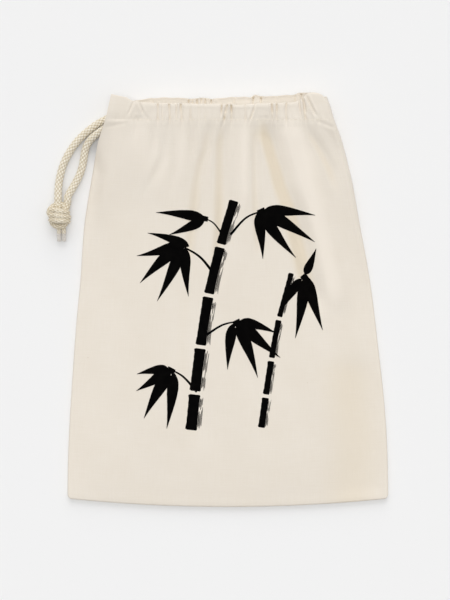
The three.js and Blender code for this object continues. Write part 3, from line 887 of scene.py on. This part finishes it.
def hem_points(layout, foot, steps, tube, ear, rim_table, gathers, side):
    """Outside of a hem: up from its foot, over the cord, down to the foot again."""
    x = spread(np.full(1, 152), 0, layout)
    rim = rim_at(x, rim_table)
    beside = smooth((-68 - x) / 12)[None, :, None]
    section = mix(*(hem_section(foot, rim, rows, steps) for rows in (tube, ear)), beside)
    y, z = section[..., 0], section[..., 1]
    x = spread(y, 0, layout)
    order = np.arange(len(y))[:, None]
    from_end = len(y) - 1 - order
    past_rim = order - sum(steps[:RIM_ROW])
    at_rim = hill(past_rim, 0, 5)
    lifted = smooth(order / 3)
    crease = pleats(x, y, gathers) * smooth((x - GATHERED[0]) / 5) * mix(0.55, 1, lifted)
    if side > 0:
        crease = crease + creases(x, y) * lifted
    crease = crease * smooth((right_edge(y) - x - 4) / 6)
    outer = smooth((2 - past_rim) / 4)
    z = z + side * crease * mix(-0.5, 1, outer) * smooth(from_end / 3)
    y = y + 0.3 * crease * at_rim
    ripple = 0.14 * np.sin(x / 2.9 + 1.3 * np.sin(x / 7.7)) + 0.1 * np.sin(x / 1.7)
    y = y + ripple * at_rim * smooth((x + 76) / 6) * smooth((68 - x) / 8)
    z = SEAM_PLANE + (z - SEAM_PLANE) * quarter((right_edge(y) - x) / TURN_REACH)
    axis = TURN_X - 0.4 * (y - 144.15)
    drawn = smooth((past_rim - 4) / (sum(steps[RIM_ROW:RETURN_ROW]) - 4))
    ratio = mix(1, 0.24, drawn * smooth((from_end + 2) / 6))
    x = np.where(x > axis, axis + (x - axis) * ratio, x)
    return np.stack([x, y, z], -1)


def off_cord(points, cord):
    """A hem whose pleats stop at the cord in it."""
    x, y, z = np.moveaxis(points, -1, 0)
    reach = CORD_RADIUS + CLOTH + CORD_ROOM
    room = np.sqrt(np.maximum(0, reach ** 2 - (y - cord[0]) ** 2))
    over, under = np.maximum(z, cord[1] + room), np.minimum(z, cord[1] - room)
    held = smooth((TURN_X + 2 - x) / 4) * smooth((x - STRAND_START + 9) / 4)
    z = mix(z, np.where(z > cord[1], over, under), held)
    return np.stack([x, y, z], -1)


def make_layer(name, side, spacing, foot, height_of, cord, steps, tube, ear, rim, gathers):
    """The cloth and the hem of one layer of the bag, the front where side is 1."""
    coarse, fine = columns(spacing)
    panel = panel_points(foot, coarse, height_of)
    uv = cloth_uv(panel, coarse)
    deep = np.zeros(panel.shape[:2])
    hem = hem_points(fine, foot, steps, tube, ear, rim, gathers, side)
    order = np.arange(len(hem))[:, None]
    meets = height_of(hem[0, :, 0], np.full(hem.shape[1], foot)) - hem[0, :, 2]
    hold = smooth(1 - order / 5)
    if side > 0:
        x, y, _ = np.moveaxis(panel, -1, 0)
        # Painted shade in the steep sides of folds, painted highlight on ridges and more painted
        # highlight towards the top
        deep = np.clip(folds(x, y)[1] / 2.4 - 0.3 * smooth((y - 60) / 60), -1, 1)
        hold = smooth(1 - order / 10) + smooth((order - len(hem) + 4) / 3)
    hem[..., 2] += meets * hold
    # The turned-in edge runs down from the stitch line, inside the panel
    x, y, _ = hem[-1].T
    flap = [np.stack([x, y + off, height_of(x, y + off) - side], -1) for off in FLAP_ROWS]
    hem = np.concatenate([off_cord(hem, cord), flap])
    hem[..., 2] = np.maximum(hem[..., 2], FLOOR_GAP)
    # The left ear has only the outer rows and a short fold; the right end has no flap
    keep = np.ones((len(hem) - 1, hem.shape[1] - 1), bool)
    place = spread(np.full(1, STITCH_Y), 0, fine)[:-1]
    keep[sum(steps[:RETURN_ROW]):, place < -76] = False
    keep[-len(FLAP_ROWS) - 2:, place > 66] = False
    # Painted shade in the hem's pleats
    in_pleat = np.clip(-0.55 * pleats(hem[..., 0], hem[..., 1], gathers), 0, 1)
    return (cloth_mesh(name + "_cloth", panel, side, uv, deep),
            cloth_mesh(name + "_hem", hem, side, cloth_uv(hem, fine, uv[-1, 0, 1]), in_pleat, keep))


def on_cloth(piece, nodes):
    """The piece has its transform baked in, and stands for the nodes where there are any."""
    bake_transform(piece)
    if nodes:
        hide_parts(*nodes)
    return piece


def slab_piece(name, slabs, material, nodes=()):
    """One piece of several thin solids, with flat coordinates across and along the bag."""
    points, faces, _ = join(slabs)
    uv = points[:, :2] - (-BAG_WIDTH / 2, BOTTOM_Y)
    return on_cloth(new_object(name, points, faces, material, uv, True), nodes)


# Stitches that hold the hems

STITCH_LENGTH = 2.6
STITCH_GAP = 0.7
THREAD_RADIUS = 0.23


def stitch(x, y, height_of, lift):
    """One stitch from x: it lies on the cloth and dives into it at both ends."""
    share = np.linspace(0, 1, 9)
    across = x + STITCH_LENGTH * share
    ends = np.abs(2 * share - 1) ** 5
    height = height_of(across, np.full_like(across, y)) + lift - 0.38 * ends
    line = np.stack([across, y + 0.05 * np.sin(3.1 * x) + 0.1 * (share - 0.5), height], -1)
    radius = THREAD_RADIUS * (1 - 0.35 * ends)
    reach = np.repeat(radius[:, None], 8, 1)
    return tube_from(rings(line, reach), line, STITCH_LENGTH * share, reach, radius)


def stitch_line(side, inset, y, height_of, lift):
    end = float(right_edge(y)) - inset - STITCH_LENGTH
    places = np.arange(STRAND_START, end, STITCH_LENGTH + STITCH_GAP)
    points, faces, uv, _ = join([stitch(x, y, height_of, lift) for x in places])
    piece = new_object(side + "_hem_stitches", points, faces, THREAD_MATERIAL, uv)
    return on_cloth(piece, [side + "_hem_thread"])


# Seam allowances: both panels' turned edges, sewn together inside the bag

SEAM_WIDTH = 6
SEAM_SETBACK = 0.7
SEAM_LOW = 0.62
SEAM_HIGH = 1.5
SEAM_TOP_LEFT = 114.7
SEAM_TOP_RIGHT = 139
SEAM_FOOT = CORNER_Y + SEAM_WIDTH + 1.2
SEAM_STEP = 0.8


def seam_slab(outer, inward):
    """A strip from its sewn side, outer, to its free, overlocked side."""
    free = np.linspace(0, 1, 11)[None, :]
    run = np.arange(len(outer))[:, None]
    wave = 0.22 * np.sin(run / 2.3) * smooth((free - 0.6) / 0.4)
    flat = outer[:, None] + (free + wave / SEAM_WIDTH)[..., None] * inward
    whipped = 0.12 * np.cos(run * 2.1 + free * 3) * smooth((free - 0.45) / 0.15)
    high = SEAM_HIGH - 0.1 * hill(free, 0.12, 0.05) + whipped * (1 - smooth((free - 0.9) / 0.1))
    if np.cross(flat[0, -1] - flat[0, 0], flat[-1, 0] - flat[0, 0]) < 0:
        flat, high = flat[:, ::-1], high[:, ::-1]
    heights = (high, np.full_like(high, SEAM_LOW))
    return shell(*(np.concatenate([flat, height[..., None]], -1) for height in heights))


def make_seams():
    seams = []
    for name, edge, inward, top, turned in (
            ("left", left_edge, 1, SEAM_TOP_LEFT, 0),
            ("right", right_edge, -1, SEAM_TOP_RIGHT, 2.3)):
        y = np.arange(SEAM_FOOT, top, SEAM_STEP)
        setback = SEAM_SETBACK + turned * smooth((y - 110) / 20)
        outer = np.stack([edge(y) + inward * setback, y], -1)
        seams.append((name, name + "_side_seam", outer, (inward * SEAM_WIDTH, 0)))
    reach = BAG_WIDTH / 2 - CORNER_RADIUS - SEAM_SETBACK
    x = np.arange(-reach, reach, SEAM_STEP)
    outer = np.stack([x, bottom_edge(x) + SEAM_SETBACK], -1)
    seams.append(("bottom", "bottom_seam", outer, (0, SEAM_WIDTH)))
    return [slab_piece(name + "_seam_edges", [seam_slab(*strip)], CLOTH_MATERIAL, [node])
            for name, node, *strip in seams]


# Ink painting on the front: two stalks of bamboo with leaves, in plain brush strokes

INK_TOP = 0.07
INK_SUNK = 0.03
# How much higher each layer of ink lies than the one before
INK_LAYER = 0.004
INK_STEP = 1.1
FINE_STEP = 0.9
NODE_GAP = 1.9
# Each stalk is its width at both ends, the points it runs through and where its nodes are
STALKS = [
    ((12.6, 9.6), [(-27, -102), (-22, -55), (-14, 0), (-3, 46), (6, 76)], [0.16, 0.36, 0.58, 0.8]),
    ((7.6, 5.2), [(27, -100), (33, -58), (40, -18), (50, 20)], [0.2, 0.44, 0.7]),
]
# Dry streaks of a stalk, from and to a share of its half width
STREAKS = [(0.49, 0.62), (0.66, 0.76), (0.8, 0.88), (0.92, 1)]
# Each twig is its width at both ends and its points; leaves grow from the last six, short ones
TWIGS = [
    ((2.2, 1.2), [(-11, 20), (-22, 33), (-37, 42)]),
    ((2, 1.1), [(2, 50), (14, 63), (28, 69)]),
    ((2, 1), [(-17, -28), (-4, -20), (9, -17)]),
    ((1.8, 1), [(44, -2), (53, 12), (61, 18)]),
    ((2.2, 1.1), [(-24, -72), (-35, -60), (-46, -54)]),
    ((1.6, 0.9), [(-2, 46), (-10, 58), (-18, 63)]),
    ((4.6, 5.2), [(-38.8, 43.4), (-33.6, 39.8)]), ((4.6, 5.4), [(23.2, 66.6), (29, 68.8)]),
    ((4.2, 5.2), [(4.2, -19.6), (9.8, -17.4)]), ((4.4, 5), [(57.4, 15.4), (61.8, 18.6)]),
    ((4.4, 5.4), [(-41.4, -57), (-47.2, -54.6)]), ((3.8, 4.4), [(-15.4, 62), (-20.2, 62.8)]),
]
# Each leaf is where it starts, its direction in degrees, its length, its width and its bend
LEAVES = [
    (-36, 43, 197, 36, 8, -14), (-37, 42, 222, 43, 9.4, 10), (-35, 41, 246, 47, 9, -8),
    (-33, 40, 272, 38, 8.2, 12), (-30, 41, 160, 34, 7, 16),
    (28, 69, 356, 40, 8.2, -12), (28, 68, 330, 46, 9.6, -6), (26, 67, 306, 44, 9, 12),
    (23, 67, 278, 36, 8, -10), (9, -17, 344, 30, 7.4, -16), (9, -18, 318, 42, 9.2, 8),
    (7, -18, 292, 46, 9, -10), (4, -19, 262, 36, 8, 9), (61, 18, 286, 44, 8.8, 6),
    (60, 17, 262, 48, 9, -8), (57, 16, 236, 30, 7.2, 10), (60, 19, 66, 22, 6.4, 8),
    (-46, -54, 188, 25, 7, 12), (-46, -55, 214, 30, 8.2, -8), (-45, -56, 240, 42, 9.4, 8),
    (-42, -57, 264, 44, 8.6, -9), (-18, 63, 172, 38, 7.6, 12), (-18, 62, 205, 30, 7.4, -10),
]


def stroke_line(points, step):
    """Middle points of a stroke and the directions to its right, on the flat bag."""
    line, _ = resample(line_through(points, 12), step)
    return line, directions(line)[:, ::-1] * (1, -1)


def ink_slab(line, right, low, high, layer=0):
    """A film of ink from low to high, both to the right of the line."""
    part = np.linspace(0, 1, 2 + int(np.max(high - low) / INK_STEP))
    off = low[:, None] + (high - low)[:, None] * part
    flat = line[:, None] + right[:, None] * off[..., None]
    height = front_height(flat[..., 0], flat[..., 1])[..., None]
    return shell(np.concatenate([flat, height + INK_TOP + INK_LAYER * layer], -1),
                 np.concatenate([flat, height - INK_SUNK], -1))


def rough(line, amount, turn):
    """Small unevenness of a brush stroke's edge."""
    run = line[:, 0] * 0.9 + line[:, 1] * 1.1
    return amount * (0.6 * np.sin(run * 0.9 + turn) + 0.4 * np.sin(run * 2.3 + 2 * turn))


def stalk_slabs(widths, points, nodes, random):
    """Segments between nodes, flared at both ends, with dry streaks on the right."""
    line, right = stroke_line(points, FINE_STEP)
    run = np.linspace(0, 1, len(line))
    gap = NODE_GAP / gaps(line).sum() / 2
    slabs = []
    for start, end in zip([0] + [node + gap for node in nodes],
                          [node - gap for node in nodes] + [1]):
        inside = (run >= start) & (run <= end)
        part, side = line[inside], right[inside]
        share = np.linspace(0, 1, len(part))
        width = np.interp((start + end) / 2, [0, 1], widths)
        half = width / 2 * (0.95 + 0.14 * (2 * share - 1) ** 6)
        half = half * np.sqrt(np.clip(np.minimum(share, 1 - share) * 24 + 0.55, 0, 1))
        turn = random.uniform(0, 6)
        slabs.append(ink_slab(part, side, -half + rough(part, 0.16, turn), 0.46 * half))
        for low, high in STREAKS:
            first = random.uniform(0, 0.1)
            split = random.uniform(0.35, 0.75)
            rest = split + random.uniform(0.04, 0.16)
            last = random.uniform(0.9, 1)
            for begin, stop in ((first, split), (rest, last)):
                chosen = (share >= begin) & (share <= stop)
                if chosen.sum() < 4:
                    continue
                taper_off = 1 - 0.7 * np.linspace(-1, 1, chosen.sum()) ** 8
                middle, reach = (low + high) / 2, (high - low) / 2 * taper_off
                slabs.append(ink_slab(part[chosen], side[chosen], half[chosen] * (middle - reach),
                                      half[chosen] * (middle + reach)))
    return slabs


def twig_slab(widths, points, layer):
    line, right = stroke_line(points, INK_STEP)
    half = np.linspace(*widths, len(line)) / 2
    return ink_slab(line, right, -half, half + rough(line, 0.08, layer), layer)


def leaf_slab(x, y, direction, length, width, bend, layer):
    """A leaf: quickly wide and then a long taper to a fine tip."""
    angle = np.radians(direction + bend * (np.linspace(0, 1, 9) - 0.3))[:-1]
    steps = np.stack([np.cos(angle), np.sin(angle)], -1) * (length / 8)
    line, right = stroke_line((x, y) + np.pad(np.cumsum(steps, 0), ((1, 0), (0, 0))), FINE_STEP)
    share = np.linspace(0, 1, len(line))
    half = 0.83 * width * (1 - (1 - share) ** 6) * (1 - share) ** 1.1 + 0.14
    return ink_slab(line, right, -half + rough(line, 0.1, layer) * (1 - share),
                    half + rough(line, 0.1, layer + 2) * (1 - share), layer)


def make_painting():
    random = np.random.default_rng(5)
    slabs = [slab for stalk in STALKS for slab in stalk_slabs(*stalk, random)]
    slabs += [twig_slab(*twig, layer) for layer, twig in enumerate(TWIGS, 1)]
    slabs += [leaf_slab(*leaf, layer) for layer, leaf in enumerate(LEAVES, len(TWIGS) + 1)]
    return slab_piece("painted_bamboo", slabs, INK_MATERIAL)


front_cloth, front_hem = make_layer(
    "front", 1, 0.56, STITCH_Y, front_height, FRONT_CORD,
    FRONT_STEPS, FRONT_TUBE, FRONT_EAR, FRONT_RIM, PLEATS)
back_cloth, back_hem = make_layer(
    "back", -1, 0.8, BACK_FOOT, back_height, BACK_CORD,
    BACK_STEPS, BACK_TUBE, BACK_EAR, BACK_RIM, BACK_PLEATS)
on_cloth(front_cloth, ["front_panel"])
on_cloth(front_hem, ["front_casing", "right_ear"])
on_cloth(back_cloth, ["back_panel"])
on_cloth(back_hem, ["back_casing"])
front_stitches = stitch_line("front", 2.5, STITCH_LINE, front_height, 0.1)
back_stitches = stitch_line("back", 8.5, BACK_FOOT - 1.7, back_height, CLOTH + THREAD_RADIUS)
seams = make_seams()
painting = make_painting()


# Floor and light

FLOOR_COLOUR = srgb(241, 241, 241)
FLOOR_GRAIN = srgb(236, 236, 236)
FLOOR_HALF = 12000
SKY_STRENGTH = 0.4
# Each lamp is its name, its share of the floor's light and, in degrees, its height, the direction
# it comes from (0 is +X) and its width
LAMPS = [("above", 0.27, 90, 90, 24), ("top", 0.2, 30, 92, 50),
         ("left", 0.08, 48, 168, 70), ("right", 0.06, 35, 14, 80)]


ground = new_material("floor")
grain = ground.noise(ground.add("TexCoord").outputs["Object"], 3)
ground_colour = ground.blend(ground.span(grain, 0.3, 0.7, 0, 0.01), FLOOR_COLOUR, FLOOR_GRAIN)
ground.finish(ground.add("BsdfDiffuse", {"Color": ground_colour}))
corners = [(x * FLOOR_HALF, y * FLOOR_HALF, 0) for x, y in ((-1, -1), (1, -1), (1, 1), (-1, 1))]
new_object("floor", corners, [[0, 1, 2, 3]], ground.owner)

scene.world = bpy.data.worlds.new("world")
sky = Nodes(scene.world)
rays = sky.add("LightPath").outputs
seen = rays["Is Camera Ray"]
for ray in ("Is Glossy Ray", "Is Transmission Ray"):
    seen = sky.math("MAXIMUM", seen, rays[ray])
light = sky.add("Background", {"Color": (1, 1, 1, 1), "Strength": SKY_STRENGTH}).outputs[0]
backdrop = sky.add("Background", {"Color": FLOOR_COLOUR, "Strength": 1}).outputs[0]
sky.finish(sky.add("MixShader", {0: seen, 1: light, 2: backdrop}), "World")

for name, share, height, direction, width in LAMPS:
    sun = bpy.data.lights.new(name, "SUN")
    sun.energy = share * math.pi / math.sin(math.radians(height))
    sun.angle = math.radians(width)
    lamp = placed(name, sun)
    lamp.rotation_euler = (math.radians(height - 90), 0, math.radians(direction - 90))

scene.view_settings.view_transform = "Standard"
